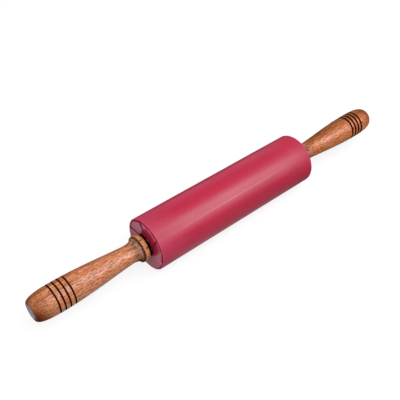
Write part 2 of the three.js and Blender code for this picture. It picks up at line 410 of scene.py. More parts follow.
# One panel's high edge carries a painted highlight.
highlit_panel = 5
highlight_share = 0.03
highlight_depth = 0.6 * panel_edge
plain_depth = 0.2 * panel_edge
rim_shade = 0.35
rim_drop = 0.02 * MM
spigot_radius = core_bore - seat_gap
spigot_wall = 2.4 * MM
spigot_length = 16 * MM
spigot_edge = 0.4 * MM
spigot_lead = 0.8 * MM
bush_wall = 2.2 * MM
axle_radius = 4 * MM
running_gap = 0.15 * MM
bush_radius = axle_radius + running_gap + bush_wall
flange_height = 2.8 * MM
flange_thickness = 1.3 * MM
bush_flange_radius = bush_radius + flange_height
bush_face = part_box("bush_right")[1].x
bush_seat = bush_face - flange_thickness
bush_length = 14 * MM
boss_wall = 2.2 * MM
boss_radius = bush_radius + seat_gap + boss_wall
boss_end = bush_seat - bush_length - seat_gap
boss_edge = 0.3 * MM
cap_rib_half = 1 * MM
cap_rib_drop = 0.4 * MM


def cap_columns():
    """The columns round a cap, six times the same set: each has its place as a share of the panel from
    seam to seam, a shift in metres along the circle, a drop of the panel's face, and 1 where it is on a
    rib. At the first share the high edge rounds over:
    shift = edge (1 - sin t), drop = edge (1 - cos t)."""
    plain = np.array([0.02, 0.05, 0.1, 0.17, 0.24, 0.31, 0.38, 0.44])
    over = np.linspace(math.pi / 2, 0, edge_rows)
    rib_sides = np.array([-1.06, -1.0, 1.0, 1.06])
    none = np.zeros(len(plain))
    foot = np.array([-seam_foot, -seam_foot / 2])
    share = np.concatenate([0 * over, plain, 0 * rib_sides + 0.5, 1 - plain[::-1], [1, 1]])
    shift = np.concatenate([panel_edge * (1 - np.sin(over)), none, cap_rib_half * rib_sides, none, foot])
    drop = np.concatenate([panel_edge * (1 - np.cos(over)), np.zeros(len(share) - len(over))])
    on_rib = np.concatenate([0 * over, none, np.abs(rib_sides) <= 1, none, 0 * foot])
    panel = np.repeat(np.arange(panel_count), len(share))
    return panel, *(np.tile(column, panel_count) for column in (share, shift, drop, on_rib))


def seam_lag(radius):
    """How far a seam turns back on its way inwards, because it passes the axle at the seam offset d:
    asin(d / R) - asin(d / r)."""
    return math.asin(seam_offset / panel_radius) - np.arcsin(seam_offset / radius)


def cap_points(side):
    """A cap as rows of rings, whose points lie at radius r and turn
    a = seam + share span + shift / r, and on the face also + lag. There the height is
    plate + rise - slope r sin(a - middle of the panel) - drop, which makes each panel flat and lowers
    it by the step from one seam to the next. The face's outline has twelve sides,
    r = R cos 15 / cos(turn past the last corner - 15). Ribs raise the floor between boss and spigot.
    Beside the points come two marks: edge, a painted highlight on the high edge of one panel, and
    seam, painted shade on the wall of each step and, weaker, round the rim."""
    panel, share, shift, drop, on_rib = cap_columns()
    seam = first_seam + panel * panel_span
    middle = seam + panel_span / 2
    half_chord = panel_span / 4
    outline = panel_radius * math.cos(half_chord)
    outline = outline / np.cos(np.mod(share * panel_span, 2 * half_chord) - half_chord)
    slope = panel_step / (2 * panel_radius * math.sin(panel_span / 2))
    over = np.linspace(0, math.pi / 2, edge_rows)
    seat = bush_flange_radius + seat_gap
    bore = bush_radius + seat_gap
    floor = np.where(on_rib, boss_end + cap_rib_drop, cap_back)
    spigot_bore = spigot_radius - spigot_wall
    spigot_end = cap_back - spigot_length

    ring, along, lag, rim, foot = [], [], [], [], []

    def row(radius, place, turned_back=0.0, edge=0.0, crease=0.0):
        values = (radius, place, turned_back, edge, crease)
        for rows, value in zip((ring, along, lag, rim, foot), values):
            rows.append(np.broadcast_to(value, share.shape))

    def face_row(radius, below, at_rim=0.0):
        turned_back = seam_lag(radius)
        turn = seam + share * panel_span + turned_back + shift / radius
        height = panel_rise - slope * radius * np.sin(turn - middle) - drop - below
        highlit = panel == highlit_panel
        # Painted shade on the step walls, and a painted highlight on one panel's high edge.
        wall = np.interp(share, seam_shade_shares, (0, 1))
        wall[(share == 0) & (drop > np.where(highlit, highlight_depth, plain_depth))] = 1
        edge = highlit & (share < highlight_share) & (drop < highlight_depth)
        row(radius, sleeve_end + height, turned_back, edge, np.maximum(wall, at_rim))

    row(spigot_bore, floor)
    row(spigot_bore, spigot_end + spigot_edge)
    row(spigot_bore + spigot_edge, spigot_end)
    row(spigot_radius - spigot_edge, spigot_end)
    row(spigot_radius, spigot_end + spigot_lead)
    row(spigot_radius, snap_place - snap_half - snap_height)
    row(spigot_radius + snap_height, snap_place - snap_half)
    row(spigot_radius + snap_height, snap_place + snap_half)
    row(spigot_radius, snap_place + snap_half + snap_height)
    row(spigot_radius, cap_back)
    row(cap_radius - cap_edge, cap_back)
    row(cap_radius, cap_back + cap_edge)
    row(cap_radius, sleeve_end - rim_drop, crease=rim_shade)
    row(outline, sleeve_end, seam_lag(outline), crease=rim_shade)
    for t in over:
        rounding = panel_edge * (1 - math.cos(t))
        face_row(outline - rounding, panel_edge * (1 - math.sin(t)), at_rim=rim_shade * math.cos(t))
    for inward in np.linspace(0, 1, panel_rings + 2)[1:-1]:
        face_row((outline - panel_edge) * (1 - inward) + (seat + panel_edge) * inward, 0)
    for t in over:
        face_row(seat + panel_edge * (1 - math.sin(t)), panel_edge * (1 - math.cos(t)))
    row(seat, bush_seat - seat_gap, seam_lag(seat))
    row((seat + bore) / 2, bush_seat - seat_gap, seam_lag(seat) / 2)
    row(bore, bush_seat - seat_gap)
    row(bore, boss_end)
    row(boss_radius - boss_edge, boss_end)
    row(boss_radius, boss_end + boss_edge)
    for inner, outer in ((1, 0), (0.67, 0.33), (0.33, 0.67), (0, 1)):
        row(boss_radius * inner + spigot_bore * outer, floor)
    ring, along, lag = np.array(ring), np.array(along), np.array(lag)
    turn = seam + share * panel_span + lag + shift / ring
    points = np.stack([along * side, ring * np.cos(turn) * side, ring * np.sin(turn)], axis=-1)
    return points, {"edge": np.array(rim), "seam": np.array(foot)}


cap_gloss = moulded(
    "red cap gloss",
    colour=chart(176, 30, 66),
    shade=chart(168, 26, 60),
    dust=chart(200, 120, 130),
    rough=0.36,
    smudge=0.04,
    grain_depth=0.002 * MM,
    # A painted highlight on one panel's high edge, and painted shade, without the coat, on the step walls
    # and round the rim.
    marked=[("edge", chart(232, 160, 180)), ("seam", chart(132, 16, 38))],
    bare="seam",
    Specular_IOR_Level=0.0,
    Coat_Roughness=0.26,
    Coat_IOR=2.0,
)
cap_crease = 30
both_ends = ((1, "right"), (-1, "left"))
for side, end in both_ends:
    cap_grid, cap_marks = cap_points(side)
    cap = skin(f"panel_cap_{end}", cap_grid, cap_crease, **cap_marks)
    fit(cap, cap_gloss, "roller", f"end_cap_{end}")


# Bushes
# Flanged bearing bushes moulded in natural nylon and pushed into the boss of each cap.
# The axle turns in them, and the flange takes the end thrust.

bush_bore = axle_radius + running_gap
bush_back = bush_seat - bush_length
bush_lead = 0.7 * MM
bush_mouth = 0.4 * MM
flange_edge = 0.3 * MM
flange_root = 0.1 * MM
bush_spacing = 3 * MM
bush_columns = 96
nylon = moulded(
    "natural nylon",
    colour=chart(232, 228, 214),
    shade=chart(224, 219, 203),
    dust=chart(180, 172, 156),
    rough=0.4,
    smudge=0.04,
    grain_depth=0.006 * MM,
)
bush_corners = [
    (bush_back, bush_bore),
    (bush_back, bush_radius),
    (bush_seat, bush_radius),
    (bush_seat, bush_flange_radius),
    (bush_face, bush_flange_radius),
    (bush_face, bush_bore),
]
bush_ease = [bush_mouth, bush_lead, flange_root, flange_edge, flange_edge, bush_mouth]
bush_rows = eased_profile(bush_corners, bush_ease, bush_spacing)
for side, end in both_ends:
    bush = skin(f"flanged_bush_{end}", turned(*bush_rows, bush_columns, side))
    fit(bush, nylon, "roller", f"bush_{end}")


# Axle
# A drawn steel rod right through the roller. At each end it is turned down to a stud with a
# rolled thread, and the shoulder stops the handle.

stud_radius = 3 * MM
stud_length = 20 * MM
stud_chamfer = 0.8 * MM
thread_pitch = 1 * MM
thread_depth = 0.35 * MM
thread_runout = 2 * MM
rows_in_pitch = 8
stud_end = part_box("axle_rod")[1].x
shoulder = stud_end - stud_length
shoulder_edge = 0.4 * MM
axle_spacing = 4 * MM
axle_columns = 72
tarnish_size = 9 * MM
tarnish_detail = 3.0
tarnish_range = (0.45, 0.75)
ring_range = (0.2, 0.8)
metal_ring_depth = 0.01 * MM
metal_polish = 0.08
metal_drag = 0.1


def axes(tree, place):
    """The X, Y and Z of a place."""
    return add(tree, "ShaderNodeSeparateXYZ", {0: place}).outputs


# What turned metal and turned wood share: fine uneven rings round the axle.
lathe_marks, lathe_in, lathe_out = effect(
    "lathe marks", {"Place": "NodeSocketVector", "Rings in a metre": "NodeSocketFloat"}, ["Rings"]
)
lathe_along = axes(lathe_marks, lathe_in.outputs["Place"])["X"]
lathe_count = combine(lathe_marks, "MULTIPLY", lathe_along, lathe_in.outputs["Rings in a metre"])
lathe_rings = {"W": lathe_count, "Scale": 1.0, "Detail": 2.0}
lathe_noise = add(lathe_marks, "ShaderNodeTexNoise", lathe_rings, noise_dimensions="1D")
lathe_marks.links.new(lathe_noise.outputs["Fac"], lathe_out.inputs["Rings"])


def turned_rings(tree, place, rings_in_metre):
    """The lathe's rings on a piece, from 0 to 1."""
    lathe = {"Place": place, "Rings in a metre": rings_in_metre}
    return add(tree, "ShaderNodeGroup", lathe, node_tree=lathe_marks).outputs["Rings"]


def turned_metal(name, colour, tarnish, rough, rings_in_metre):
    """A bare metal finish: a colour clouded by tarnish, with fine lathe rings in its gloss and relief."""
    material, tree, shader = finish(name, Metallic=1.0)
    place = object_place(tree)
    rings = turned_rings(tree, place, rings_in_metre)
    cloud = noise(tree, place, cube(tarnish_size), tarnish_detail)
    metal = tint(tree, spread(tree, cloud, *tarnish_range), colour, tarnish)
    roughness = spread(tree, rings, *ring_range, rough - metal_polish, rough + metal_drag)
    surface(tree, shader, metal, roughness, combine(tree, "MULTIPLY", rings, metal_ring_depth))
    return material


def threaded_axle():
    """The rod's radius along its length and round the turn. On the studs the radius falls by the thread
    depth times |2 f - 1|, f being the fraction of
    (distance from the shoulder / pitch - turn / full turn).
    The left half is the right one turned half round about the upright."""
    rod_rows = np.arange(0, shoulder, axle_spacing)
    step_rows = [shoulder - shoulder_edge, shoulder, shoulder]
    thread_rows = np.arange(shoulder, stud_end, thread_pitch / rows_in_pitch)
    along = np.sort(np.concatenate([rod_rows, step_rows, thread_rows, [stud_end, stud_end]]))
    turn = np.linspace(0, 1, axle_columns, endpoint=False)[None, :]
    away = along[:, None] - shoulder
    fraction = np.mod(away / thread_pitch - turn, 1)
    runout = np.clip(away / thread_runout, 0, 1)
    stud = stud_radius - thread_depth * runout * np.abs(2 * fraction - 1)
    stud = np.minimum(stud, stud_radius - (along[:, None] - stud_end + stud_chamfer).clip(0))
    rod = axle_radius - (away + shoulder_edge).clip(0)
    on_rod = np.arange(len(along))[:, None] <= np.flatnonzero(along == shoulder)[0]
    radius = np.where(on_rod, rod, stud)
    radius[-1] = 0
    along = np.concatenate([-along[:0:-1], along])
    radius = np.concatenate([np.roll(radius[:0:-1], axle_columns // 2, axis=1), radius])
    return turned(along, radius, axle_columns)


bright_steel = turned_metal(
    "drawn steel", chart(190, 191, 193), chart(150, 148, 146), rough=0.3, rings_in_metre=3000.0
)
axle = skin("drawn_axle", threaded_axle())
fit(axle, bright_steel, "handles", "axle_rod")


# Thrust washers
# Black nylon rings, stamped flat, that run between the flange of the bush and the wooden handle.
# Each is the dark line behind the handle's collar; its colour, darker than black nylon, is painted
# shade of the gap.

washer_low, washer_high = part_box("thrust_washer_right")
washer_radius = 10.8 * MM
washer_bore = axle_radius + seat_gap
washer_edge = 0.3 * MM
washer_spacing = 2 * MM
washer_columns = 128
washer_corners = tube_corners(washer_low.x, washer_high.x, washer_bore, washer_radius)
washer_rows = eased_profile(washer_corners, washer_edge, washer_spacing)
# A colour darker than black nylon, as painted shade of the gap behind the collar.
black_nylon_and_shade = moulded(
    "black nylon",
    colour=chart(6, 4, 4),
    shade=chart(4, 3, 3),
    dust=chart(34, 30, 28),
    rough=0.8,
    smudge=0.06,
    grain_depth=0.004 * MM,
    Specular_IOR_Level=0.05,
)
for side, end in both_ends:
    washer = skin(f"black_washer_{end}", turned(*washer_rows, washer_columns, side))
    fit(washer, black_nylon_and_shade, "handles", f"thrust_washer_{end}")


# Threaded inserts
# Turned brass sleeves glued into the handles. Two knurled bands grip the wood, and the inside
# is tapped for the axle's stud.

insert_low, insert_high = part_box("threaded_insert_right")
insert_length = insert_high.x - insert_low.x
insert_radius = 5.3 * MM
insert_bore = stud_radius + seat_gap
insert_edge = 0.4 * MM
insert_mouth = 0.5 * MM
knurl_count = 36
knurl_depth = 0.25 * MM
knurl_margin = 1.5 * MM
knurl_fade = 0.3 * MM
waist_half = 1.2 * MM
columns_in_knurl = 6
insert_rows_outside = 61
insert_rows_inside = 145


def insert_points(side):
    """The insert's outside and bore. Outside, the radius falls by knurl depth (1 + cos(count turn)) / 2
    on two bands. Inside, it grows by the thread depth times |2 f - 1|, f as on the axle's stud."""
    columns = knurl_count * columns_in_knurl
    turn = np.linspace(0, 2 * np.pi, columns, endpoint=False)[None, :]
    out = np.linspace(0, insert_length, insert_rows_outside)[:, None]
    from_end = np.minimum(out, insert_length - out)
    band = np.clip((from_end - knurl_margin) / knurl_fade, 0, 1)
    band *= np.clip((np.abs(out - insert_length / 2) - waist_half) / knurl_fade, 0, 1)
    outside = insert_radius - knurl_depth * band * (1 + np.cos(knurl_count * turn)) / 2
    outside = outside - (insert_edge - from_end).clip(0)
    back = np.linspace(insert_length, 0, insert_rows_inside)[:, None]
    fraction = np.mod(back / thread_pitch - turn / (2 * np.pi), 1)
    inside = insert_bore + thread_depth * np.abs(2 * fraction - 1)
    mouth = (insert_mouth - np.minimum(back, insert_length - back)).clip(0)
    inside = np.maximum(inside, insert_bore + mouth)
    radius = np.concatenate([outside, inside, outside[:1]])
    along = insert_low.x + np.concatenate([out, back, out[:1]])
    return turned(along, radius, columns, side)


turned_brass = turned_metal(
    "turned brass", chart(196, 158, 88), chart(150, 112, 60), rough=0.28, rings_in_metre=1800.0
)
for side, end in both_ends:
    insert = skin(f"brass_insert_{end}", insert_points(side))
    fit(insert, turned_brass, "handles", f"threaded_insert_{end}")


# Handles
# Turned hardwood, stained orange brown and lacquered: a bead and a cove at the collar, a long swell, four
# grooves burnt in with a wire, and a rounded end with a small flat. The insert is glued in a blind bore.

handle_low, handle_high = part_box("handle_right")
collar_face = handle_low.x
handle_length = handle_high.x - handle_low.x
handle_columns = 288
bead_rows = 25
cove_rows = 25
swell_rows = 70
dome_rows = 40
groove_rows = 13
bead_length = 4.6 * MM
bead_radius = 12.9 * MM
bead_bulge = 1 * MM
collar_groove_width = 1 * MM
collar_groove_depth = 0.9 * MM
shoulder_radius = 12.2 * MM
cove_length = 8.6 * MM
neck_radius = 8.7 * MM
belly_radius = 12.95 * MM
dome_length = 24 * MM
tip_radius = 7 * MM
swell_power = 1.25
dome_power = 2.6
groove_count = 4
groove_pitch = 4.75 * MM
groove_width = 1.3 * MM
groove_depth = 0.8 * MM
groove_from_tip = 19.3 * MM
handle_bore = insert_radius + seat_gap
bore_depth = 26.3 * MM
bore_edge = 0.4 * MM
groove_middle = bead_length + collar_groove_width / 2
cove_start = bead_length + collar_groove_width
neck = cove_start + cove_length
belly = handle_length - dome_length
burnt_grooves = handle_length - groove_from_tip - groove_pitch * np.arange(groove_count)


def grip_radius(out):
    """The grip's radius at a distance out from the collar face. From neck to belly it swells by
    sin(share 90 degrees) to the swell power, and on the dome it falls as a superellipse to the tip."""
    swell = np.clip((out - neck) / (belly - neck), 0, 1)
    dome = np.clip((out - belly) / dome_length, 0, 1)
    swelling = neck_radius + (belly_radius - neck_radius) * np.sin(swell * math.pi / 2) ** swell_power
    rounding = tip_radius + (belly_radius - tip_radius) * (1 - dome**dome_power) ** (1 / dome_power)
    return np.where(out < belly, swelling, rounding)


def from_burnt_groove(out):
    """The distance along the axle to the middle of the nearest burnt groove."""
    return np.abs(out[..., None] - burnt_grooves).min(axis=-1)


def groove_closeness(out):
    """1 on the floor of a burnt groove and 0 outside it, eased up its two walls."""
    wall = np.clip((groove_width / 2 - from_burnt_groove(out)) / (groove_width / 4), 0, 1)
    return wall * wall * (3 - 2 * wall)


def handle_rows():
    """The handle's outline from the end of its bore, along the bead, the collar groove, the cove and
    the grip, to the middle of the tip: distances out from the collar face, radii, and which rows are
    outside the bore."""
    arc = np.linspace(0, math.pi, bead_rows)
    bead_out = bead_length * (1 - np.cos(arc)) / 2
    bead = bead_radius - bead_bulge + bead_bulge * np.sin(arc)
    quarter = np.linspace(0, math.pi / 2, cove_rows)
    cove_out = cove_start + cove_length * (1 - np.cos(quarter))
    cove = neck_radius + (shoulder_radius - neck_radius) * (1 - np.sin(quarter))
    beside = np.array([0.6, 0.68, 0.84, 1])
    across = groove_width * np.concatenate([-beside[::-1], np.linspace(-0.52, 0.52, groove_rows), beside])
    cuts = (burnt_grooves[:, None] + across).ravel()
    swell_out = np.linspace(neck, belly, swell_rows)[1:]
    dome_out = belly + dome_length * np.sin(np.linspace(0, math.pi / 2, dome_rows))
    grip_out = np.unique(np.concatenate([swell_out, dome_out, cuts]))
    grip = grip_radius(grip_out) - groove_depth * groove_closeness(grip_out)
    tip = tip_radius * np.array([0.93, 0.7, 0.35, 0])
    tip_out = np.full(len(tip), handle_length)
    groove_floor = bead_radius - bead_bulge - collar_groove_depth
    bore_out = [bore_depth, bore_depth, bore_depth / 2, bore_edge, 0]
    bore = [0, handle_bore, handle_bore, handle_bore, handle_bore + bore_edge]
    out = np.concatenate([bore_out, bead_out, [groove_middle], cove_out, grip_out, tip_out])
    radius = np.concatenate([bore, bead, [groove_floor], cove, grip, tip])
    outside = np.arange(len(out)) >= len(bore)
    return out[:, None], radius[:, None], outside[:, None]


nick_count = 22
nick_width = 0.55 * MM
nick_depth = 0.55 * MM
nick_reach = 0.4


def nick_closeness(out, turn):
    """How deep a point of the bead lies in one of its small chips, 0 to 1. Chip k is at the turn
    (k + 0.3 sin(7.3 k)) / count of a full turn, at the share 0.5 + 0.4 sin(5.1 k) of the bead's
    length, and is 0.45 + 0.6 sin(2.4 k + 2.6) strong. Round the bead the depth falls as
    exp(-(distance / width) squared), and along it as exp(-(share away / reach) squared)."""
    number = np.arange(nick_count)
    place = 2 * math.pi * (number + 0.3 * np.sin(7.3 * number)) / nick_count
    middle = 0.5 + 0.4 * np.sin(5.1 * number)
    strength = np.clip(0.45 + 0.6 * np.sin(2.4 * number + 2.6), 0, 1)
    round_bead = np.angle(np.exp(1j * (turn[..., None] - place))) * bead_radius / nick_width
    along_bead = (out[..., None] / bead_length - middle) / nick_reach
    dents = strength * np.exp(-(round_bead**2) - along_bead**2)
    return dents.max(axis=-1) * (out <= bead_length)


crack_start = 58 * MM
crack_fade = 25 * MM
crack_end = 104 * MM
crack_stop = 2 * MM
crack_width = 0.3 * MM
crack_strength = 0.7
burn_fade = 0.16 * groove_width
collar_line_reach = 1.2
chip_burn = 1.3
chip_burn_most = 0.85
bead_fade = 0.4 * MM
stain_strength = 0.85
stain_end = neck + 0.5 * MM
stain_fade = 5 * MM
groove_scorch = 0.15
groove_scorch_fade = 0.6 * MM
# Painted shade on the underside of the cove.
cove_shade = 0.9
cove_shade_from = 0.6
tip_power = 1.5
# Round the turn the tip's dark ring swings as painted shade.
tip_shade_swing = 0.3
tip_flat_edge = 0.95 * tip_radius
# The flat of the tip, and a little round it, is greyed as a painted reflection.
tip_reflection_fade = 2 * MM
tip_reflection_on_dome = 0.25


def handle_points(side, crack_turn, burn_reach, tip_reach, tip_scorch, tip_shade_turn):
    """The outline turned about the axle, with the chips taken from the bead's radius. Beside the points
    come five marks. burn is in the grooves, the chips and a fine crack along the grain, which fades as
    exp(-(distance across / width) squared). scorch_and_shade is scorching beside the grooves, painted
    shade on the underside of the cove, and towards the tip (share of the tip's reach) to the tip power
    times (tip_scorch + swing cos(2 (turn - tip turn))), a darkening whose swing round the turn is painted
    shade. rubbed_and_highlit is wear and a painted highlight on the bead, stain is on the cove, and
    tip_reflection, a painted reflection, is on the flat of the tip and a little round it."""
    out, radius, outside = handle_rows()
    turn = np.linspace(0, 2 * np.pi, handle_columns, endpoint=False)[None, :]
    chips = nick_closeness(out, turn) * outside
    from_groove = from_burnt_groove(out)
    from_tip = handle_length - out
    on_dome = radius > tip_flat_edge

    wire_burn = np.clip((burn_reach * groove_width - from_groove) / burn_fade, 0, 1)
    collar_line = np.clip(collar_line_reach - np.abs(out - groove_middle) / collar_groove_width, 0, 1)
    crack_run = np.clip((out - crack_start) / crack_fade, 0, 1)
    crack_run = crack_run * np.clip((crack_end - out) / crack_stop, 0, 1)
    crack_apart = np.angle(np.exp(1j * (turn - math.radians(crack_turn)))) * radius
    crack = crack_strength * crack_run * np.exp(-((crack_apart / crack_width) ** 2))
    chipped = np.minimum(chip_burn * chips, chip_burn_most)
    burn = np.maximum(np.maximum(wire_burn, collar_line), np.maximum(chipped, crack))

    past_bead = np.clip((out - bead_length) / bead_fade, 0, 1)
    stain = stain_strength * past_bead * np.clip((stain_end - out) / stain_fade, 0, 1)
    # Painted shade: the underside of the cove is darker.
    underneath = np.clip(cove_shade_from - np.sin(turn), 0, 1)
    # Round the turn the tip's ring is deeper on two sides, as painted shade.
    round_tip = tip_scorch + tip_shade_swing * np.cos(2 * (turn - math.radians(tip_shade_turn)))
    tip_ring = np.clip((tip_reach - from_tip) / tip_reach, 0, 1) ** tip_power * on_dome * round_tip
    scorch_and_shade = np.maximum(groove_scorch * np.exp(-from_groove / groove_scorch_fade), tip_ring)
    scorch_and_shade = np.maximum(scorch_and_shade, cove_shade * stain * underneath)

    # Painted reflection: grey on the flat of the tip and a little round it.
    near_tip = tip_reflection_on_dome * np.clip((tip_reflection_fade - from_tip) / tip_reflection_fade, 0, 1)
    tip_reflection = np.where(on_dome, near_tip, 1) * (out > belly)
    # The whole bead is paler, as wear and painted highlight.
    rubbed_and_highlit = 1 - past_bead
    marks = dict(burn=burn, scorch_and_shade=scorch_and_shade, rubbed_and_highlit=rubbed_and_highlit, stain=stain, tip_reflection=tip_reflection)
    points = turned(collar_face + out, radius - nick_depth * chips, handle_columns, side)
    return points, {mark: values * outside for mark, values in marks.items()}


# What both handles share: layers of the wood's grain, each a noise drawn out along the axle. The figure
# is broad bands, the mottle is ripples, and streaks, flecks and open pores are ever shorter and finer.
grain_layers = {
    "Figure": ((9.0, 85.0, 85.0), 3.0, 0.32, 0.68),
    "Mottle": ((80.0, 520.0, 520.0), 3.0, 0.34, 0.66),
    "Streaks": ((24.0, 900.0, 900.0), 2.0, 0.42, 0.66),
    "Flecks": ((300.0, 1500.0, 1500.0), 1.0, 0.46, 0.66),
    "Pores": ((400.0, 2000.0, 2000.0), 0.0, 0.64, 0.72),
}
wood_grain = layered("wood grain", grain_layers)
# The handles are darker towards this side, above and behind, as painted shade.
upper_shade_tilt = math.radians(65)
upper_shade_side = (0, math.cos(upper_shade_tilt), math.sin(upper_shade_tilt))
mottle_share = 0.55
streak_share = 0.42
pore_share = 0.7
# The bead's paler colour is wear and painted highlight.
rubbed_and_highlit_share = 0.2
pore_colour = chart(78, 38, 20)
rubbed_and_highlit_colour = chart(250, 176, 118)
bare_colour = chart(156, 110, 88)
dusty_colour = chart(220, 166, 138)
grime_colour = chart(66, 46, 38)
# Brown for scorching beside the grooves and for painted shade.
scorch_and_shade_colour = chart(92, 36, 12)
tip_reflection_colour = chart(128, 114, 108)
char_colour = chart(52, 14, 3)
wood_rings_in_metre = 1500.0
wood_ring_depth = 0.01 * MM
pore_depth = 0.03 * MM
wood_roughness = (0.42, 0.58)
thin_lacquer = 0.55
open_lacquer = 0.1
scorch_and_shade_wear = 1.2
worn_through = 0.8


def vector(tree, operation, *inputs):
    """Vectors multiplied, measured or compared."""
    return add(tree, "ShaderNodeVectorMath", dict(enumerate(inputs)), operation=operation).outputs


def lacquered_wood(name, blank, upper_shade, upper_shade_from, light, brown, pale, dark, fleck, fleck_share):
    """Stained wood under lacquer, cut from its own blank, whose place in the tree is a shift of the
    grain. The wood is darker towards its upper back side, as painted shade, and short flecks cross it.
    The mark burn blackens, scorch_and_shade browns the scorching and the painted shade,
    rubbed_and_highlit lightens the bead as wear and painted highlight, stain greys the cove, where the
    lacquer is worn off, and tip_reflection greys the flat of the tip as a painted reflection. The lacquer
    is thinner between the ripples, on the flecks and under the painted shade of the upper back side."""
    material, tree, shader = finish(name, Specular_IOR_Level=0.0, Coat_Roughness=0.3, Coat_IOR=1.65)
    place = object_place(tree)
    shifted = add(tree, "ShaderNodeMapping", {"Vector": place, "Location": blank}).outputs[0]
    grain = add(tree, "ShaderNodeGroup", {"Place": shifted}, node_tree=wood_grain).outputs
    rings = turned_rings(tree, shifted, wood_rings_in_metre)
    marks = ("burn", "scorch_and_shade", "rubbed_and_highlit", "stain", "tip_reflection")
    burn, scorch_and_shade, rubbed_and_highlit, stain, tip_reflection = (mark_value(tree, mark) for mark in marks)

    def part(value, share):
        return combine(tree, "MULTIPLY", value, share)

    across = vector(tree, "MULTIPLY", place, (0, 1, 1))["Vector"]
    outward = vector(tree, "NORMALIZE", across)["Vector"]
    behind = vector(tree, "DOT_PRODUCT", outward, upper_shade_side)["Value"]
    # Painted shade: darker towards the upper back side.
    upper_shade_share = spread(tree, behind, upper_shade_from, 1.0, 0.0, upper_shade)
    wood = tint(tree, upper_shade_share, tint(tree, grain["Figure"], light, brown), dark)
    wood = tint(tree, part(grain["Mottle"], mottle_share), wood, pale)
    wood = tint(tree, part(grain["Streaks"], streak_share), wood, dark)
    wood = tint(tree, part(grain["Flecks"], fleck_share), wood, fleck)
    wood = tint(tree, part(grain["Pores"], pore_share), wood, pore_colour)
    # The bead is paler, as wear and painted highlight.
    wood = tint(tree, part(rubbed_and_highlit, rubbed_and_highlit_share), wood, rubbed_and_highlit_colour)
    grey = tint(tree, grain["Mottle"], bare_colour, dusty_colour)
    wood = tint(tree, stain, wood, tint(tree, grain["Streaks"], grey, grime_colour))
    # Brown for scorching, and painted shade under the cove and round the tip.
    wood = tint(tree, scorch_and_shade, wood, scorch_and_shade_colour)
    # Grey on the flat of the tip: a painted reflection.
    wood = tint(tree, tip_reflection, wood, tip_reflection_colour)
    wood = tint(tree, burn, wood, char_colour)

    lacquer = spread(tree, grain["Mottle"], 0.0, 1.0, thin_lacquer, 1.0)
    lacquer = part(lacquer, spread(tree, grain["Flecks"], 0.0, 1.0, 1.0, open_lacquer))
    # The lacquer is also thinner under that painted shade.
    lacquer = part(lacquer, spread(tree, upper_shade_share, 0.0, 1.0, 1.0, open_lacquer))
    worn = combine(tree, "MAXIMUM", combine(tree, "MAXIMUM", burn, stain), part(scorch_and_shade, scorch_and_shade_wear))
    lacquer = part(lacquer, spread(tree, worn, 0.0, worn_through, 1.0, 0.0))
    tree.links.new(lacquer, shader.inputs["Coat Weight"])
    roughness = spread(tree, grain["Flecks"], 0.0, 1.0, *wood_roughness)
    relief = combine(tree, "ADD", part(grain["Pores"], -pore_depth), part(rings, wood_ring_depth))
    surface(tree, shader, wood, roughness, relief)
    return material


# The two values after each blank set the depth and the start of the painted shade on the upper back side.
handle_finish = {
    "right": lacquered_wood(
        "lacquered wood right",
        blank=(0.3, 0.02, 0.05),
        upper_shade=0.95,
        upper_shade_from=0.4,
        light=chart(247, 142, 72),
        brown=chart(230, 114, 48),
        pale=chart(252, 168, 106),
        dark=chart(112, 44, 14),
        fleck=chart(112, 44, 14),
        fleck_share=0.5,
    ),
    "left": lacquered_wood(
        "lacquered wood left",
        blank=(0.0, 0.0, 0.0),
        upper_shade=0.75,
        upper_shade_from=0.95,
        light=chart(232, 148, 96),
        brown=chart(216, 130, 80),
        pale=chart(252, 184, 134),
        dark=chart(136, 66, 34),
        fleck=chart(186, 80, 32),
        fleck_share=0.8,
    ),
}
# The last value of each sets where round the turn the painted shade on the tip lies.
handle_wear = {
    "right": dict(crack_turn=250, burn_reach=1.03, tip_reach=16 * MM, tip_scorch=0.62, tip_shade_turn=115),
    "left": dict(crack_turn=69, burn_reach=0.68, tip_reach=20 * MM, tip_scorch=0.85, tip_shade_turn=-8),
}
handle_crease = 50
for side, end in both_ends:
    handle_grid, handle_marks = handle_points(side, **handle_wear[end])
    handle = skin(f"turned_handle_{end}", handle_grid, handle_crease, **handle_marks)
    fit(handle, handle_finish[end], "handles", f"handle_{end}")


# Floor
# A plain white table top just under the roller, which glows to the camera so that it shows as white and
# still keeps the pin's shadow. In reflections the glow is cooler and is painted light on the floor: it
# falls off from front left to back right, but for a patch past the left end, and behind the pin the
# reflected paint is darker as painted shade.

floor_half = 3.0
floor_corners = [(-1, -1), (1, -1), (1, 1), (-1, 1)]
floor_points = [(floor_half * x, floor_half * y, cad_low.z) for x, y in floor_corners]
floor_mesh = bpy.data.meshes.new("white_table")
floor_mesh.from_pydata(floor_points, [], [(0, 1, 2, 3)])
table = bpy.data.objects.new("white_table", floor_mesh)
bpy.context.scene.collection.objects.link(table)

white = (1, 1, 1, 1)
paint_level = (0.24, 0.24, 0.24, 1)
painted_shade_behind = (0.03, 0.03, 0.03, 1)
behind_range = (-0.02, 0.05)
glow_mirrored = (0.88, 0.97, 1.12, 1)
front_to_back = (-0.25, 0.06)
front_to_back_glow = (1.35, 0.06)
left_to_right = (-0.07, 0.13)
left_to_right_glow = (1.5, 0.35)
past_end = (-0.114, -0.098)
past_end_glow = (0.85, 0.0)
patch_back = (0.05, 0.1)
patch_back_glow = (1.0, 0.0)
near_to_far = (0.5, 2.0)
near_to_far_glow = (0.82, 1.0)


def mirrored_rays(tree):
    """1 for a ray that a glossy surface sends on, and otherwise 0."""
    return add(tree, "ShaderNodeLightPath", {}).outputs["Is Glossy Ray"]


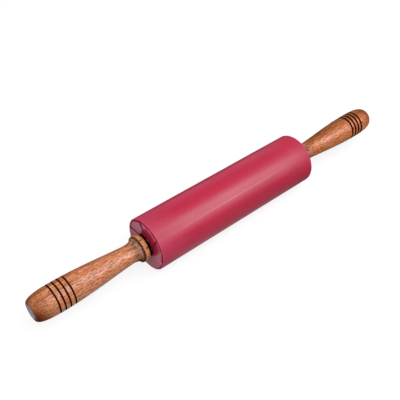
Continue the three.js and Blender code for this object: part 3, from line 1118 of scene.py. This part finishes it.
def seen_directly(tree, mirrored_share):
    """1 for a ray from the camera or through a clear surface, the mirrored share for one that a glossy
    surface sends on, and otherwise 0."""
    rays = add(tree, "ShaderNodeLightPath", {}).outputs
    straight = combine(tree, "MAXIMUM", rays["Is Camera Ray"], rays["Is Transmission Ray"])
    mirrored = combine(tree, "MULTIPLY", rays["Is Glossy Ray"], mirrored_share)
    return combine(tree, "MAXIMUM", straight, mirrored)


white_paint = bpy.data.materials.new("white table paint")
white_paint.use_nodes = True
paint_tree = white_paint.node_tree
paint_tree.nodes.remove(paint_tree.nodes["Principled BSDF"])
table_place = object_place(paint_tree)
table_axes = axes(paint_tree, table_place)
# In reflections the glow paints the floor's light: brighter in front, to the left and past the left end.
front_glow = spread(paint_tree, table_axes["Y"], *front_to_back, *front_to_back_glow)
left_glow = spread(paint_tree, table_axes["X"], *left_to_right, *left_to_right_glow)
open_glow = combine(paint_tree, "MULTIPLY", front_glow, left_glow)
end_glow = spread(paint_tree, table_axes["X"], *past_end, *past_end_glow)
patch_glow = spread(paint_tree, table_axes["Y"], *patch_back, *patch_back_glow)
patch_glow = combine(paint_tree, "MULTIPLY", end_glow, patch_glow)
mirrored_glow = combine(paint_tree, "MAXIMUM", open_glow, patch_glow)
table_reach = vector(paint_tree, "LENGTH", table_place)["Value"]
glow_level = spread(paint_tree, table_reach, *near_to_far, *near_to_far_glow)
glow_strength = combine(paint_tree, "MULTIPLY", seen_directly(paint_tree, mirrored_glow), glow_level)
table_mirrored = mirrored_rays(paint_tree)
# Behind the pin, reflections see darker paint as painted shade.
behind_pin = spread(paint_tree, table_axes["Y"], *behind_range)
mirrored_behind = combine(paint_tree, "MULTIPLY", table_mirrored, behind_pin)
paint_colour = tint(paint_tree, mirrored_behind, paint_level, painted_shade_behind)
paint = add(paint_tree, "ShaderNodeBsdfDiffuse", {"Color": paint_colour}).outputs[0]
glow_colour = tint(paint_tree, table_mirrored, white, glow_mirrored)
glow = add(paint_tree, "ShaderNodeEmission", {"Color": glow_colour, "Strength": glow_strength}).outputs[0]
glowing_paint = add(paint_tree, "ShaderNodeAddShader", {0: paint, 1: glow}).outputs[0]
paint_tree.links.new(glowing_paint, paint_tree.nodes["Material Output"].inputs["Surface"])
floor_mesh.materials.append(white_paint)


# Light
# A white room lit from its ceiling, cooler and darker overhead in reflections, and a front key above
# the pin. Two strips show only as the highlight along the sleeve and the handles. A weak fill stands
# behind, and a soft box past the left handle lights the end of the roller.

ceiling_level = 0.7
horizon_level = 0.03
ceiling_tilt = math.radians(75)
ceiling_axis = (0, -math.cos(ceiling_tilt), math.sin(ceiling_tilt))
wall_to_ceiling = (0.3, 0.75)
wall_to_ceiling_mirrored = (0.95, 0.45)
room_mirrored = (0.9, 0.98, 1.2, 1)
room = bpy.data.worlds.new("white room")
bpy.context.scene.world = room
room.use_nodes = True
room_tree = room.node_tree
direction = add(room_tree, "ShaderNodeTexCoord", {}).outputs["Generated"]
above = vector(room_tree, "DOT_PRODUCT", direction, ceiling_axis)["Value"]
room_light = spread(room_tree, above, 0.0, 1.0, horizon_level, ceiling_level)
room_height = axes(room_tree, direction)["Z"]
mirrored_room = spread(room_tree, room_height, *wall_to_ceiling, *wall_to_ceiling_mirrored)
room_strength = spread(room_tree, seen_directly(room_tree, mirrored_room), 0.0, 1.0, room_light, 1.0)
room_colour = tint(room_tree, mirrored_rays(room_tree), white, room_mirrored)
room_tree.links.new(room_colour, room_tree.nodes["Background"].inputs["Color"])
room_tree.links.new(room_strength, room_tree.nodes["Background"].inputs["Strength"])


def soft_box(name, place, aim, length, width, radiance):
    """A rectangular lamp that faces its aim. Its power is its radiance times pi times its area."""
    light = bpy.data.lights.new(name, "AREA")
    light.shape = "RECTANGLE"
    light.size = length
    light.size_y = width
    light.energy = radiance * math.pi * length * width
    lamp = bpy.data.objects.new(name, light)
    lamp.location = place
    lamp.rotation_euler = (Vector(place) - Vector(aim)).to_track_quat("Z", "Y").to_euler()
    bpy.context.scene.collection.objects.link(lamp)
    return lamp


front_distance = 0.9
strip_colour = (1.0, 0.98, 1.05)


def front_box(name, along, height, length, width, radiance, roll=0.0):
    """A soft box in front of the pin at a height in degrees, aimed at the axle's line."""
    turn = math.radians(height)
    place = (along, -front_distance * math.cos(turn), front_distance * math.sin(turn))
    lamp = soft_box(name, place, (along, 0, 0), length, width, radiance)
    lamp.rotation_euler.rotate_axis("Z", math.radians(roll))
    return lamp


key = front_box("front_key", along=0.3, height=61, length=1.5, width=0.52, radiance=2.36)
key.visible_glossy = False
long_strip = front_box(
    "long_strip", along=0.65, height=45, length=1.7, width=0.98, radiance=1.82, roll=-25
)
short_strip = front_box("short_strip", along=0.5, height=50, length=0.25, width=0.7, radiance=6.5)
for strip in (long_strip, short_strip):
    strip.data.color = strip_colour
    strip.visible_diffuse = False
    strip.data.cycles.use_multiple_importance_sampling = False
fill_place = (0.3, 1.2, 0.4)
fill = soft_box("back_fill", fill_place, aim=(0, 0, 0), length=1.2, width=0.8, radiance=0.4)
fill.visible_glossy = False
left_place = (-1.05, -0.15, 0.28)
left_end = (sleeve_low.x, 0, 0)
soft_box("left_soft_box", left_place, aim=left_end, length=0.8, width=0.8, radiance=2.2)


# Camera
# The photograph's view, found by fitting the outline of the pin: from the left in front, well above it.

camera_aim = np.array([-18.84, 14.54, -1.39]) * MM
camera_azimuth = math.radians(-40.633)
camera_elevation = math.radians(41.898)
camera_distance = 581.16 * MM
camera_lens = 55.587
camera_nearest = 10 * MM
camera_side = np.array([math.sin(camera_azimuth), -math.cos(camera_azimuth)]) * math.cos(camera_elevation)
camera_data = bpy.data.cameras.new("photograph")
camera_data.lens = camera_lens
camera_data.clip_start = camera_nearest
camera = bpy.data.objects.new("photograph", camera_data)
camera.location = camera_aim + camera_distance * np.array([*camera_side, math.sin(camera_elevation)])
camera.rotation_euler = (math.pi / 2 - camera_elevation, 0, camera_azimuth)
bpy.context.scene.collection.objects.link(camera)
bpy.context.scene.camera = camera
bpy.context.scene.view_settings.view_transform = "Standard"
